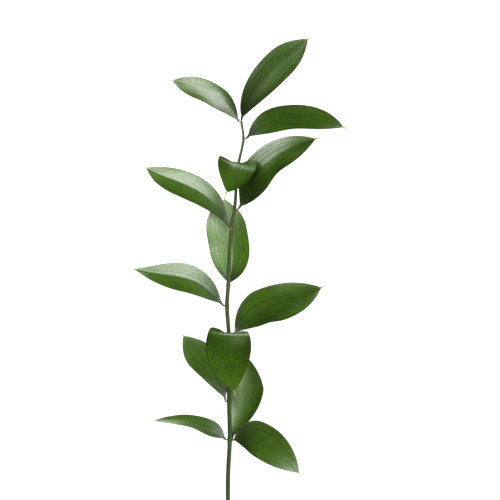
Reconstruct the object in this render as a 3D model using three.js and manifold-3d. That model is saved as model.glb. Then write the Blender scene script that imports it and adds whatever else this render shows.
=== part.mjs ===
// A cut stem of ruscus lying on a flat surface: one slender arching stem and fourteen
// stiff, leathery leaves, each on a short stalk and each ending in a small pale spine.
//
// Millimetres. X is to the right, Y runs along the stem from its cut end to its top leaf
// and Z is up, away from the surface. The group is moved at the end, so that its origin
// lies at the middle of the bottom of its bounding box.

import * as THREE from 'three';
import { mergeVertices } from 'three/addons/utils/BufferGeometryUtils.js';
import Module from 'manifold-3d';

const wasm = await Module();
wasm.setup();

// ---------------------------------------------------------------- driving dimensions

const FOOT_CLEARANCE = 0.9;      // from the stem to the middle of a stalk's root, whose
                                 // nearest corner then stays at least 0.3 clear
const LEAF_THICKNESS = 0.7;
const STALK_HALF_WIDTH = 0.55;   // of the leaf stalk
const SPINE_LENGTH = 3.5;        // pale spine at a leaf's tip
const SPINE_TIP_HALF_WIDTH = 0.2;
const BLADE_ROWS = 14;           // steps along a blade
const BLADE_COLUMNS = 8;         // steps across a blade

const STEM_SIDES = 10;
const STEM_STEP = 8;             // spacing of the stem's sections
const SWELLING = 0.15;           // growth of the radius at a joint of the stem
const SWELLING_REACH = 2.5;      // how far a swelling runs to each side of its joint
const END_ROUNDING = 1.2;        // length of the pointed upper end

const SCALE_HALF_WIDTH = 0.75;   // dry papery scale under a leaf stalk
const SCALE_HALF_THICKNESS = 0.35;
const SCALE_DROP = 2.2;          // from the leaf's foot down the stem to its scale
const SCALE_SUNK = 0.6;          // how deep a scale's root sits in the stem
const SCALE_LEAN = 0.25;         // how far it leans back down the stem, as a slope

const SEARCH_PASSES = 30;        // halvings when a place on the stem is looked up
const FLAT_TURN = 1e-4;          // a margin that turns less than this counts as turning by it

// Joints of the stem, from the cut end to the top: centre and radius.
const JOINTS = {
  cut: { at: [-0.5, 0, 1.8], radius: 1.8, plain: true },
  arch: { at: [-1, 70.5, 11.5], radius: 1.78, plain: true },
  a: { at: [0.5, 102, 16.5], radius: 1.75 },
  b: { at: [0, 133.5, 20.5], radius: 1.7 },
  c: { at: [0, 185.5, 26], radius: 1.62 },
  d: { at: [-1.5, 210.5, 28], radius: 1.6 },
  e: { at: [-0.5, 227, 29.5], radius: 1.5 },
  f: { at: [2, 273.5, 32.5], radius: 1.4 },
  g: { at: [4.5, 287, 33], radius: 1.3 },
  h: { at: [7, 320, 34.5], radius: 1.2 },
  i: { at: [11.5, 343, 35], radius: 1 },
  top: { at: [10, 356.5, 35], radius: 0.85 },
};

// Directions in which a leaf leaves its joint.
const LEFT = [-1, 0, 0];
const RIGHT = [1, 0, 0];
const ABOVE = [0, 0, 1];
const BELOW = [0, 0, -1];
const ONWARD = [0, 1, 0];
const LOW_RIGHT = [0.6, 0, -0.8];
const HIGH_RIGHT = [0.8, 0, 0.6];

// Leaves, from the top of the stem down.
//   joint, foot   where the stalk starts and to which side of the stem
//   route         two control points and the tip of the midrib, a cubic Bezier curve
//   width         greatest breadth of the flat blade
//   stalk         length of the stalk
//   widest        where the blade is broadest, as a share of its length
//   fullness      exponents of the outline towards the base and towards the tip
//   face          where the upper side of the leaf looks, before it is rolled
//   roll          turn about the midrib at base, middle and tip, in degrees
//   left, right   lift of each margin at base, middle and tip, in degrees: below zero the
//                 margin turns down and the upper side is convex
//   fold          tilt of both halves about the midrib, in degrees
//   dips          places where one margin turns down further: side (-1 left, 1 right),
//                 share of the length, half length as a share, degrees
//   scale         length of the papery scale under the stalk
const LEAVES = [
  { joint: 'top', foot: ONWARD, route: [[17, 382.5, 55.5], [42.5, 405, 36.5], [65.5, 426, 25.5]],
    width: 24.5, stalk: 1.5, widest: 0.58, fullness: [2.3, 2.4], roll: [14, 9, -2], fold: 3,
    left: [-20, -8, -22], right: [10, -5, 3] },
  { joint: 'top', foot: LEFT, route: [[-5, 378.5, 31], [-11, 383, 31], [-49, 394, 0.4]],
    width: 20, stalk: 1.5, widest: 0.36, fullness: [1.7, 3.3], roll: [10, 20, -5], fold: -3,
    left: [0, -30, 30], right: [-40, -22, 10], scale: 1.8 },
  { joint: 'i', foot: RIGHT, route: [[27, 358, 49], [55, 373, 0], [96.5, 354, 0.4]],
    width: 20.5, stalk: 3, widest: 0.43, fullness: [3.1, 3.5], roll: [12, -5, -10],
    left: [15, -20, 35], right: [10, 5, 20], scale: 4.5 },
  { joint: 'g', foot: RIGHT, route: [[25, 309.5, 37], [11, 324, 60.5], [72, 344, 36]],
    width: 25.5, stalk: 3, widest: 0.33, fullness: [1.8, 3.3], roll: [-5, -10, 24], fold: -3,
    left: [0, 0, -60], right: [10, -15, 35], dips: [[1, 0.54, 0.14, -35]] },
  { joint: 'h', foot: ABOVE, route: [[8.5, 328.5, 64], [6.5, 321, 62], [-2.5, 297, 50]],
    width: 30.5, stalk: 5, widest: 0.34, fullness: [3.2, 2.5], face: [0, 0.6, 0.8], fold: -5,
    left: [90, -15, -20], right: [110, 20, 0] },
  { joint: 'f', foot: LEFT, route: [[-16.5, 310.5, 29], [-43.5, 306.5, 29], [-70, 323.5, 1.5]],
    width: 23.5, stalk: 1.5, widest: 0.5, fullness: [1.8, 2.6], roll: [2, 5, 5], fold: -14,
    left: [15, -24, 15], right: [45, -20, 20], scale: 1.2 },
  { joint: 'e', foot: BELOW, route: [[5.5, 259, 22], [-5.5, 269, 19.5], [-3.5, 299.5, 12.5]],
    width: 33.5, stalk: 1.5, widest: 0.56, fullness: [3.3, 3], roll: [0, 5, 5], fold: -3,
    left: [-15, -18, 5], right: [-20, -20, 0] },
  { joint: 'd', foot: LEFT, route: [[-31.5, 240, 23], [-33.5, 230, 25.5], [-80.5, 240, 1.5]],
    width: 23.5, stalk: 2.5, widest: 0.5, fullness: [2.3, 1.5], roll: [5, 6, 3], fold: -9,
    left: [20, -20, 45], right: [20, -3, 0] },
  { joint: 'c', foot: RIGHT, route: [[20, 215.5, 18], [39, 209.5, 55], [76, 227, 41.5]],
    width: 30.5, stalk: 4, widest: 0.38, fullness: [1.7, 3.1], roll: [-6, 15, 5],
    left: [-5, -25, -15], right: [10, 5, 40], dips: [[1, 0.35, 0.12, -30]] },
  { joint: 'c', foot: ABOVE, route: [[1, 201.5, 64], [-3, 170, 31], [5.5, 139, 36]],
    width: 36, stalk: 2.5, widest: 0.46, fullness: [3.4, 1.8], face: [0, 0.6, 0.8],
    roll: [-5, 5, 10], left: [60, -25, 20], right: [90, -10, 60] },
  { joint: 'b', foot: LEFT, route: [[-9.5, 165, 7], [-25.5, 164, 16], [-39, 188, 1.5]],
    width: 24, stalk: 3, widest: 0.63, fullness: [2.6, 1.9], roll: [-25, -15, -20],
    left: [10, 5, 15], right: [-5, -5, -10] },
  { joint: 'a', foot: LOW_RIGHT, route: [[3.5, 116.5, 12.5], [21, 146.5, 7.5], [10, 174, 4]],
    width: 31, stalk: 2, widest: 0.6, fullness: [2.1, 1.2], roll: [-4, -8, -2],
    left: [-30, -45, -25], right: [-35, -30, -5] },
  { joint: 'a', foot: LEFT, route: [[-16.5, 115, 13], [-32, 121, 8], [-64, 116.5, 14]],
    width: 17.5, stalk: 2, fullness: [3.5, 1.6], roll: [5, 65, 45], left: [-5, -10, -20],
    right: [-10, 0, -15] },
  { joint: 'a', foot: HIGH_RIGHT, route: [[21, 109.5, 11.5], [37.5, 98.5, 26.5], [57.5, 78, 48.5]],
    width: 30.5, stalk: 1, widest: 0.3, fullness: [2, 2.2], roll: [10, 15, 0],
    left: [-25, 5, -5], right: [-10, 10, 10] },
];

// Values of a leaf that doesn't state its own.
const USUAL_LEAF = {
  widest: 0.52, fullness: [2.5, 2.3], face: ABOVE, roll: [0, 0, 0], fold: 0, dips: [], scale: 2.2,
};

// ---------------------------------------------------------------- materials

const leafMaterial = new THREE.MeshStandardMaterial({
  name: 'leaf', color: 0x3f6e1b, roughness: 0.45, metalness: 0,
});
const stemMaterial = new THREE.MeshStandardMaterial({
  name: 'stem', color: 0x4c6a2c, roughness: 0.6, metalness: 0,
});

// ---------------------------------------------------------------- helpers

const vector = (values) => new THREE.Vector3(...values);

/** Quadratic through the values at the base, the middle and the tip. */
function along([base, middle, tip], u) {
  return base * (1 - u) * (1 - 2 * u) + middle * 4 * u * (1 - u) + tip * u * (2 * u - 1);
}

/** Closed geometry of a lattice of rings: side walls and two end caps fanned from a point. */
function loftRings(rings, startPoint, endPoint) {
  const sides = rings[0].length;
  const points = rings.flat();
  const start = points.push(startPoint) - 1;
  const end = points.push(endPoint) - 1;
  const faces = [];
  for (let row = 0; row + 1 < rings.length; row += 1) {
    for (let side = 0; side < sides; side += 1) {
      const next = (side + 1) % sides;
      const [a, b] = [row * sides + side, row * sides + next];
      const [c, d] = [a + sides, b + sides];
      faces.push(a, b, d, a, d, c);
    }
  }
  const last = (rings.length - 1) * sides;
  for (let side = 0; side < sides; side += 1) {
    const next = (side + 1) % sides;
    faces.push(start, next, side, end, last + side, last + next);
  }
  const geometry = new THREE.BufferGeometry().setFromPoints(points);
  geometry.setIndex(faces);
  return geometry;
}

function toSolid(geometry) {
  const bare = geometry.clone();
  bare.deleteAttribute('normal');
  bare.deleteAttribute('uv');
  const merged = mergeVertices(bare);
  return new wasm.Manifold(new wasm.Mesh({
    numProp: 3,
    vertProperties: merged.attributes.position.array,
    triVerts: Uint32Array.from(merged.index.array),
  }));
}

function toGeometry(solid) {
  const mesh = solid.getMesh();
  const geometry = new THREE.BufferGeometry();
  geometry.setAttribute('position', new THREE.BufferAttribute(mesh.vertProperties, 3));
  geometry.setIndex(Array.from(mesh.triVerts));
  return geometry;
}

// ---------------------------------------------------------------- stem

const stemCurve = new THREE.CatmullRomCurve3(Object.values(JOINTS).map(({ at }) => vector(at)));

/** Radius of the stem at a height along Y, with the swellings at its joints. */
function stemRadius(y) {
  const joints = Object.values(JOINTS);
  const upper = Math.max(1, joints.findIndex(({ at }) => at[1] >= y));
  const [low, high] = [joints[upper - 1], joints[upper]];
  const share = (y - low.at[1]) / (high.at[1] - low.at[1]);
  const swell = joints
    .filter(({ plain }) => !plain)
    .map(({ at }) => Math.exp(-(((y - at[1]) / SWELLING_REACH) ** 2)))
    .reduce((sum, share) => sum + share, 0);
  return THREE.MathUtils.lerp(low.radius, high.radius, share) * (1 + SWELLING * swell);
}

/** Where the stem's sections lie along Y: evenly, and closer at each joint. */
function stemHeights() {
  const heights = [];
  const joints = Object.values(JOINTS);
  for (let k = 0; k + 1 < joints.length; k += 1) {
    const [low, high] = [joints[k], joints[k + 1]];
    const from = low.at[1] + (low.plain ? 0 : SWELLING_REACH);
    const to = high.at[1] - (high.plain ? 0 : SWELLING_REACH);
    if (!low.plain) heights.push(low.at[1]);
    const steps = Math.max(1, Math.round((to - from) / STEM_STEP));
    const onward = high.plain ? steps : steps + 1;
    for (let step = 0; step < onward; step += 1) heights.push(from + ((to - from) * step) / steps);
  }
  heights.push(joints.at(-1).at[1]);
  return heights;
}

/** Share of the stem's curve at which it reaches a height along Y. */
function shareAt(y) {
  let [low, high] = [0, 1];
  for (let pass = 0; pass < SEARCH_PASSES; pass += 1) {
    const middle = (low + high) / 2;
    [low, high] = stemCurve.getPoint(middle).y < y ? [middle, high] : [low, middle];
  }
  return (low + high) / 2;
}

function stemRing(y, radius) {
  const share = shareAt(y);
  const centre = stemCurve.getPoint(share);
  const tangent = stemCurve.getTangent(share);
  const across = tangent.clone().cross(vector(ABOVE)).normalize();
  const up = across.clone().cross(tangent);
  return Array.from({ length: STEM_SIDES }, (_, k) => {
    const angle = ((k + 0.5) / STEM_SIDES) * 2 * Math.PI;
    return centre.clone()
      .addScaledVector(across, radius * Math.sin(angle))
      .addScaledVector(up, radius * Math.cos(angle));
  });
}

function bareStem() {
  const rings = stemHeights().map((y) => stemRing(y, stemRadius(y)));
  const tip = stemCurve.getPoint(1).addScaledVector(stemCurve.getTangent(1), END_ROUNDING);
  return loftRings(rings, stemCurve.getPoint(0), tip);
}

/** One dry scale: a flat pointed cone that stands out from the stem just under a leaf. */
function scaleGeometry(leaf) {
  const joint = JOINTS[leaf.joint];
  const outward = vector(leaf.foot).add(vector([0, -SCALE_LEAN, 0])).normalize();
  const length = leaf.scale + SCALE_SUNK;
  const cone = new THREE.ConeGeometry(SCALE_HALF_WIDTH * Math.SQRT2, length, 4);
  cone.rotateY(Math.PI / 4);
  cone.scale(1, 1, SCALE_HALF_THICKNESS / SCALE_HALF_WIDTH);
  const upright = new THREE.Matrix4().lookAt(vector([0, 0, 0]), vector(ONWARD), outward);
  cone.applyMatrix4(upright);
  const y = joint.at[1] - SCALE_DROP;
  const root = stemCurve.getPoint(shareAt(y));
  const out = stemRadius(y) - SCALE_SUNK + length / 2;
  cone.translate(...root.addScaledVector(outward, out).toArray());
  return cone;
}

function stemGeometry() {
  const scales = LEAVES.map(completeLeaf).filter(({ foot }) => foot !== ONWARD);
  const solid = scales.reduce(
    (sum, leaf) => sum.add(toSolid(scaleGeometry(leaf))),
    toSolid(bareStem()),
  );
  return toGeometry(solid);
}

// ---------------------------------------------------------------- leaves

function completeLeaf(leaf) {
  return { ...USUAL_LEAF, ...leaf };
}

/** The leaf's midrib, from just off the stem to the end of its spine. */
function midribCurve({ joint, foot, route }) {
  const { at, radius } = JOINTS[joint];
  const reach = radius * (1 + SWELLING) + FOOT_CLEARANCE;
  const start = vector(at).addScaledVector(vector(foot).normalize(), reach);
  return new THREE.CubicBezierCurve3(start, ...route.map(vector));
}

/** Half the breadth of the flat leaf at a distance along its midrib. */
function halfBreadth(leaf, distance, length) {
  const bladeEnd = length - SPINE_LENGTH;
  if (distance > bladeEnd) {
    const share = (distance - bladeEnd) / SPINE_LENGTH;
    return THREE.MathUtils.lerp(STALK_HALF_WIDTH, SPINE_TIP_HALF_WIDTH, share);
  }
  const share = Math.max(0, (distance - leaf.stalk) / (bladeEnd - leaf.stalk));
  const [towardsBase, towardsTip] = leaf.fullness;
  const outline = share < leaf.widest
    ? 1 - (1 - share / leaf.widest) ** towardsBase
    : 1 - ((share - leaf.widest) / (1 - leaf.widest)) ** towardsTip;
  return Math.max(STALK_HALF_WIDTH, (outline * leaf.width) / 2);
}

/** Distances of the leaf's cross sections along its midrib. */
function leafDistances(leaf, length) {
  const blade = length - SPINE_LENGTH - leaf.stalk;
  const rows = Array.from({ length: BLADE_ROWS + 1 }, (_, row) => (
    leaf.stalk + (blade * (1 - Math.cos((Math.PI * row) / BLADE_ROWS))) / 2
  ));
  return [0, leaf.stalk / 2, ...rows, length - SPINE_LENGTH / 2, length];
}

/** Angle by which one side of the blade has turned at its margin, in radians. */
function marginTurn(leaf, side, u) {
  const usual = along(side < 0 ? leaf.left : leaf.right, u);
  const extra = leaf.dips
    .filter(([dipSide]) => dipSide === side)
    .map(([, centre, reach, turn]) => turn * Math.exp(-(((u - centre) / reach) ** 2)))
    .reduce((sum, turn) => sum + turn, 0);
  return THREE.MathUtils.degToRad(usual + extra);
}

/** Place of a point of a cross section: across the leaf and up from its midrib. */
function sectionPoint(leaf, half, column, u) {
  const side = Math.sign(column);
  const turn = marginTurn(leaf, side, u) || FLAT_TURN;
  const bend = turn * Math.abs(column);
  const across = (half * Math.sin(bend)) / turn;
  const up = (half * (1 - Math.cos(bend))) / turn;
  const fold = THREE.MathUtils.degToRad(leaf.fold);
  return [
    side * (across * Math.cos(fold) - up * Math.sin(fold)),
    up * Math.cos(fold) + across * Math.sin(fold),
    bend + fold,
  ];
}

/** One cross section of the leaf: its upper points, then its lower points backwards. */
function leafRing(leaf, curve, length, distance) {
  const u = distance / length;
  const centre = curve.getPointAt(u);
  const tangent = curve.getTangentAt(u);
  const face = vector(leaf.face);
  const up = face.addScaledVector(tangent, -face.dot(tangent)).normalize();
  up.applyAxisAngle(tangent, THREE.MathUtils.degToRad(along(leaf.roll, u)));
  const across = tangent.clone().cross(up);
  const half = halfBreadth(leaf, distance, length);
  const upper = [];
  const lower = [];
  for (let k = 0; k <= BLADE_COLUMNS; k += 1) {
    const column = (2 * k) / BLADE_COLUMNS - 1;
    const [x, z, lean] = sectionPoint(leaf, half, column, u);
    const middle = centre.clone().addScaledVector(across, x).addScaledVector(up, z);
    const normal = up.clone().multiplyScalar(Math.cos(lean))
      .addScaledVector(across, -Math.sign(column) * Math.sin(lean));
    upper.push(middle.clone().addScaledVector(normal, LEAF_THICKNESS / 2));
    lower.unshift(middle.addScaledVector(normal, -LEAF_THICKNESS / 2));
  }
  return [...upper, ...lower];
}

function leafGeometry(leaf) {
  const curve = midribCurve(leaf);
  const length = curve.getLength();
  const rings = leafDistances(leaf, length).map((distance) => leafRing(leaf, curve, length, distance));
  return stitchLeaf(rings);
}

/** Joins the cross sections, with the upper and the lower side split into triangles alike. */
function stitchLeaf(rings) {
  const size = rings[0].length;
  const columns = size / 2 - 1;
  const faces = [];
  const quad = (a, b, c, d) => faces.push(a, b, c, a, c, d);
  for (let row = 0; row + 1 < rings.length; row += 1) {
    const [near, far] = [row * size, (row + 1) * size];
    for (let k = 0; k < columns; k += 1) {
      quad(near + k, near + k + 1, far + k + 1, far + k);
      const [p, q] = [size - 1 - k, size - 2 - k];
      faces.push(near + p, far + q, near + q, near + p, far + p, far + q);
    }
    quad(near + columns, near + columns + 1, far + columns + 1, far + columns);
    quad(near + size - 1, near, far, far + size - 1);
  }
  const last = (rings.length - 1) * size;
  for (let k = 0; k < columns; k += 1) {
    const [p, q] = [size - 1 - k, size - 2 - k];
    quad(k, p, q, k + 1);
    quad(last + k, last + k + 1, last + q, last + p);
  }
  const geometry = new THREE.BufferGeometry().setFromPoints(rings.flat());
  geometry.setIndex(faces);
  return geometry;
}

// ---------------------------------------------------------------- assembly

function namedMesh(name, geometry, material) {
  geometry.computeVertexNormals();
  const mesh = new THREE.Mesh(geometry, material.clone());
  mesh.name = name;
  return mesh;
}

const ruscus = new THREE.Group();
ruscus.add(namedMesh('stem', stemGeometry(), stemMaterial));
LEAVES.map(completeLeaf).forEach((leaf, index) => {
  const name = `leaf_${String(index + 1).padStart(2, '0')}`;
  ruscus.add(namedMesh(name, leafGeometry(leaf), leafMaterial));
});

const box = new THREE.Box3().setFromObject(ruscus, true);
const middle = box.getCenter(new THREE.Vector3());
ruscus.position.set(-middle.x, -middle.y, -box.min.z);

export default ruscus;
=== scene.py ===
"""A cut stem of green ruscus that lies on a pale surface, seen from straight above.

The stem and its fourteen leaves are built in millimetres in the plant's own layout: X to the
right, Y along the stem from its cut end to its top leaf, Z up from the surface. A piece's mesh
is moved to the row frame, in metres, when its points are written.
"""

import logging
import math
from dataclasses import dataclass, field, replace
from enum import Enum

import bpy
import numpy as np
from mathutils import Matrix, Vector

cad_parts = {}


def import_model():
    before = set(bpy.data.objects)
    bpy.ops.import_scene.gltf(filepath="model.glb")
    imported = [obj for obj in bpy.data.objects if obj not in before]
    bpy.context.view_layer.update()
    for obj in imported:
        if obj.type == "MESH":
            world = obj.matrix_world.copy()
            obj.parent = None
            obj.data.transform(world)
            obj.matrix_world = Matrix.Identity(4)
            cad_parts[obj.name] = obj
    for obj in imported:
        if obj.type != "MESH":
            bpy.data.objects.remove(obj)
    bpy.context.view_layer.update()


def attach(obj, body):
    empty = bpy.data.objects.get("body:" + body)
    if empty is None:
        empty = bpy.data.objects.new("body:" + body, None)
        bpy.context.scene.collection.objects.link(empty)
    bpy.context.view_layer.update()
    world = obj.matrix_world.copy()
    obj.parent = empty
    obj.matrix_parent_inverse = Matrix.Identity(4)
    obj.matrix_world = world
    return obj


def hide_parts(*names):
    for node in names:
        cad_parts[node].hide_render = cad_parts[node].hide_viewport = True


LOG = logging.getLogger("ruscus")
MM = 0.001
LAYOUT_ORIGIN = np.array([-7.9946, -213.0328, -0.0452])  # layout's zero point in the row frame, mm
CAMERA_PLACE = np.array([16.8, 255, 1136])  # in the layout, mm
VEINS_A_SIDE = 4
VEIN_SHARPNESS = 9
LEAST_TURN = 1e-4  # radians; a margin that turns less is taken as turning this much
NUMBER = "NodeSocketFloat"
VECTOR = "NodeSocketVector"
Triple = tuple[float, float, float]
Colour = tuple[float, float, float, float]


# ------------------------------------------------------------------ numbers of the plant


class Way(Enum):
    """Directions in which a leaf stalk leaves its joint."""

    LEFT = (-1, 0, 0)
    RIGHT = (1, 0, 0)
    ABOVE = (0, 0, 1)
    BELOW = (0, 0, -1)
    ONWARD = (0, 1, 0)
    LOW_RIGHT = (0.6, 0, -0.8)
    HIGH_RIGHT = (0.8, 0, 0.6)


@dataclass(frozen=True)
class Joint:
    """A point of the stem: a joint that bears leaves, or a plain point of its course.

    The scar says how dry the ring below a joint is, from 0 to 1.
    """

    name: str
    at: Triple
    radius: float
    plain: bool = False
    scar: float = 0.2


@dataclass(frozen=True)
class Dip:
    """A stretch in which one margin turns further, by degrees.

    The side is -1 for the left and 1 for the right margin. The share and the reach are parts
    of the leaf's length, and a turn below zero goes down.
    """

    side: int
    share: float
    reach: float
    turn: float


@dataclass(frozen=True)
class SheenAndMidribPatch:
    """A pale patch on a leaf: most are painted sheen where a highlight falls, and one on leaf 7 paints its
    pale midrib line.

    The share and the reach are parts of the leaf's length. The place and the breadth are
    measured across it, from -1 at the left margin to 1 at the right one.
    """

    share: float
    place: float
    reach: float
    breadth: float
    strength: float


@dataclass(frozen=True)
class LeafShape:
    """Form of one leaf, in millimetres and degrees, and its tones.

    The route holds two control points and the tip of the midrib. Three values stand for
    base, middle and tip. The width is that of the flat blade, which is widest at a share of
    its length, and a higher fullness makes it broader towards its base or tip. The face is the
    way that the upper side looks, the roll turns it about the midrib, and the fold lifts both
    halves. A margin's turn is below zero where it turns down. The scale is the length of the
    papery scale below the stalk. The tone goes from dark to light green, the lean is what it
    gains from the midrib to the right margin, and the dark of the base fades out at a share of
    the length. A dull leaf gleams less.
    """

    number: int
    joint: str
    foot: Way
    route: tuple[Triple, Triple, Triple]
    width: float
    stalk: float
    left: Triple
    right: Triple
    widest: float = 0.52
    fullness: tuple[float, float] = (2.5, 2.3)
    face: Triple = (0, 0, 1)
    roll: Triple = (0, 0, 0)
    fold: float = 0
    dips: tuple[Dip, ...] = ()
    scale: float = 0.9
    tone: float = 0.5
    # Painted light and shade across the leaf: the lean lightens one side of the midrib and darkens the other.
    lean: float = 0
    # The darker base is partly the leaf's own tone and partly painted shade where it meets the stem; on
    # leaves 5 and 10 it paints shade over the crest.
    dark: float = 0.3
    # Pale patches, most of them painted sheen; the narrow one on leaf 7 paints its pale midrib line.
    sheen_and_midrib_patches: tuple[SheenAndMidribPatch, ...] = ()
    dull: bool = False

    @property
    def name(self) -> str:
        """Name of the leaf and of the solid that it stands for."""
        return f"leaf_{self.number:02d}"


JOINTS = (
    Joint("cut", (-0.5, 0, 1.8), 1.8, plain=True),
    Joint("arch", (-1, 70.5, 11.5), 1.78, plain=True),
    Joint("a", (0.5, 102, 16.5), 1.75),
    Joint("b", (0, 133.5, 20.5), 1.7),
    Joint("c", (0, 185.5, 26), 1.62),
    Joint("d", (-1.5, 210.5, 28), 1.6),
    Joint("e", (-0.5, 227, 29.5), 1.5),
    Joint("f", (2, 273.5, 32.5), 1.4, scar=0.6),
    Joint("g", (4.5, 287, 33), 1.3),
    Joint("h", (7, 320, 34.5), 1.2),
    Joint("i", (11.5, 343, 35), 1.0, scar=0.5),
    Joint("top", (10, 356.5, 35), 0.85),
)

LEAVES = (
    LeafShape(
        1, "top", Way.ONWARD, ((17, 382.5, 55.5), (42.5, 405, 36.5), (65.5, 426, 25.5)),
        width=24.5, stalk=1.5, widest=0.58, fullness=(2.3, 2.4), roll=(14, 9, -2), fold=3,
        left=(-20, -8, -22), right=(10, -5, 3), tone=0.1, dark=0.55,
        sheen_and_midrib_patches=(SheenAndMidribPatch(0.45, 0.25, 0.25, 0.3, 0.06),),
    ),
    LeafShape(
        2, "top", Way.LEFT, ((-5, 378.5, 31), (-11, 383, 31), (-49, 394, 0.4)),
        width=20, stalk=1.5, widest=0.36, fullness=(1.7, 3.3), roll=(10, 20, -5), fold=-3,
        left=(0, -30, 30), right=(-40, -22, 10), scale=1.2, tone=0.2, dark=0.5,
    ),
    LeafShape(
        3, "i", Way.RIGHT, ((27, 358, 49), (55, 373, 0), (96.5, 354, 0.4)),
        width=20.5, stalk=3, widest=0.43, fullness=(3.1, 3.5), roll=(12, -5, -10),
        left=(15, -20, 35), right=(10, 5, 20), scale=4.5, tone=0.32,
    ),
    LeafShape(
        4, "g", Way.RIGHT, ((25, 309.5, 37), (11, 324, 60.5), (72, 344, 36)),
        width=25.5, stalk=3, widest=0.33, fullness=(1.8, 3.3), roll=(-5, -10, 24), fold=-3,
        left=(0, 0, -60), right=(10, -15, 35), dips=(Dip(1, 0.54, 0.14, -35),), tone=0.2, dark=0.4,
    ),
    LeafShape(
        5, "h", Way.ABOVE, ((8.5, 328.5, 64), (6.5, 321, 62), (-2.5, 297, 50)),
        width=30.5, stalk=5, widest=0.34, fullness=(3.2, 2.5), face=(0, 0.6, 0.8), fold=-5,
        left=(90, -15, -20), right=(110, 20, 0), tone=0.3, dark=0.85, dull=True,
    ),
    LeafShape(
        6, "f", Way.LEFT, ((-16.5, 310.5, 29), (-43.5, 306.5, 29), (-70, 323.5, 1.5)),
        width=23.5, stalk=1.5, widest=0.5, fullness=(1.8, 2.6), roll=(2, 5, 5), fold=-14,
        left=(15, -24, 15), right=(45, -20, 20), scale=1.2, tone=0.36,
    ),
    LeafShape(
        7, "e", Way.BELOW, ((5.5, 259, 22), (-5.5, 269, 19.5), (-3.5, 299.5, 12.5)),
        width=33.5, stalk=1.5, widest=0.56, fullness=(3.3, 3), roll=(0, 5, 5), fold=-3,
        left=(-15, -18, 5), right=(-20, -20, 0), tone=1.1,
        sheen_and_midrib_patches=(SheenAndMidribPatch(0.85, -0.2, 0.2, 1.0, 0.75), SheenAndMidribPatch(0.35, 0.05, 0.3, 0.05, 0.7)),
    ),
    LeafShape(
        8, "d", Way.LEFT, ((-31.5, 240, 23), (-33.5, 230, 25.5), (-80.5, 240, 1.5)),
        width=23.5, stalk=2.5, widest=0.5, fullness=(2.3, 1.5), roll=(5, 6, 3), fold=-9,
        left=(20, -20, 45), right=(20, -3, 0), tone=0.39,
    ),
    LeafShape(
        9, "c", Way.RIGHT, ((20, 215.5, 18), (39, 209.5, 55), (76, 227, 41.5)),
        width=30.5, stalk=4, widest=0.38, fullness=(1.7, 3.1), roll=(-6, 15, 5),
        left=(-5, -25, -15), right=(10, 5, 40), dips=(Dip(1, 0.35, 0.12, -30),), tone=0.31,
    ),
    LeafShape(
        10, "c", Way.ABOVE, ((1, 201.5, 64), (-3, 170, 31), (5.5, 139, 36)),
        width=36, stalk=2.5, widest=0.46, fullness=(3.4, 1.8), face=(0, 0.6, 0.8), roll=(-5, 5, 10),
        left=(60, -25, 20), right=(90, -10, 60), tone=0.55, dark=0.6,
        sheen_and_midrib_patches=(SheenAndMidribPatch(0.32, -0.5, 0.07, 0.4, 0.12),), dull=True,
    ),
    LeafShape(
        11, "b", Way.LEFT, ((-9.5, 165, 7), (-25.5, 164, 16), (-39, 188, 1.5)),
        width=24, stalk=3, widest=0.63, fullness=(2.6, 1.9), roll=(-25, -15, -20),
        left=(10, 5, 15), right=(-5, -5, -10), tone=0.22, dark=0.45, dull=True,
    ),
    LeafShape(
        12, "a", Way.LOW_RIGHT, ((3.5, 116.5, 12.5), (21, 146.5, 7.5), (10, 174, 4)),
        width=31, stalk=2, widest=0.6, fullness=(2.1, 1.2), roll=(-4, -8, -2),
        left=(-30, -45, -25), right=(-35, -30, -5), tone=0.8, lean=-0.6, dark=0.15,
        sheen_and_midrib_patches=(SheenAndMidribPatch(0.3, -0.45, 0.3, 0.45, 0.5), SheenAndMidribPatch(0.75, -0.35, 0.25, 0.5, 0.35)),
    ),
    LeafShape(
        13, "a", Way.LEFT, ((-16.5, 115, 13), (-32, 121, 8), (-64, 116.5, 14)),
        width=17.5, stalk=2, widest=0.52, fullness=(3.5, 1.6), roll=(5, 65, 45),
        left=(-5, -10, -20), right=(-10, 0, -15), tone=0.2,
        sheen_and_midrib_patches=(SheenAndMidribPatch(0.75, -0.5, 0.25, 0.5, 0.1),),
    ),
    LeafShape(
        14, "a", Way.HIGH_RIGHT, ((21, 109.5, 11.5), (37.5, 98.5, 26.5), (57.5, 78, 48.5)),
        width=30.5, stalk=1, widest=0.3, fullness=(2, 2.2), roll=(10, 15, 0),
        left=(-25, 5, -5), right=(-10, 10, 10), tone=0.22, dark=0.4,
        sheen_and_midrib_patches=(SheenAndMidribPatch(0.82, 0.3, 0.15, 0.6, 0.06),),
    ),
)


# ------------------------------------------------------------------ helpers


def bearing_joint(shape: LeafShape) -> Joint:
    """The joint that bears a leaf."""
    return next(joint for joint in JOINTS if joint.name == shape.joint)


def unit(values: np.ndarray) -> np.ndarray:
    """Vectors of length one in the directions of the given ones."""
    return values / np.linalg.norm(values, axis=-1, keepdims=True)


def along(values: Triple, share: np.ndarray) -> np.ndarray:
    """Quadratic through the values at the base, the middle and the tip.

    Args:
        values: What the curve reaches at shares 0, 0.5 and 1.
        share: Shares of the length at which it is read.

    Returns:
        The curve's values there.
    """
    base, middle, tip = values
    rise = base * (1 - share) * (1 - 2 * share)
    return rise + middle * 4 * share * (1 - share) + tip * share * (2 * share - 1)


def ramp(values: np.ndarray, start: float, end: float) -> np.ndarray:
    """Smooth step from 0 at start to 1 at end."""
    share = np.clip((values - start) / (end - start), 0, 1)
    return share * share * (3 - 2 * share)


def bump(values: np.ndarray, centre: float, reach: float) -> np.ndarray:
    """Bell curve of height one round a centre."""
    return np.exp(-(((values - centre) / reach) ** 2))


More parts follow.
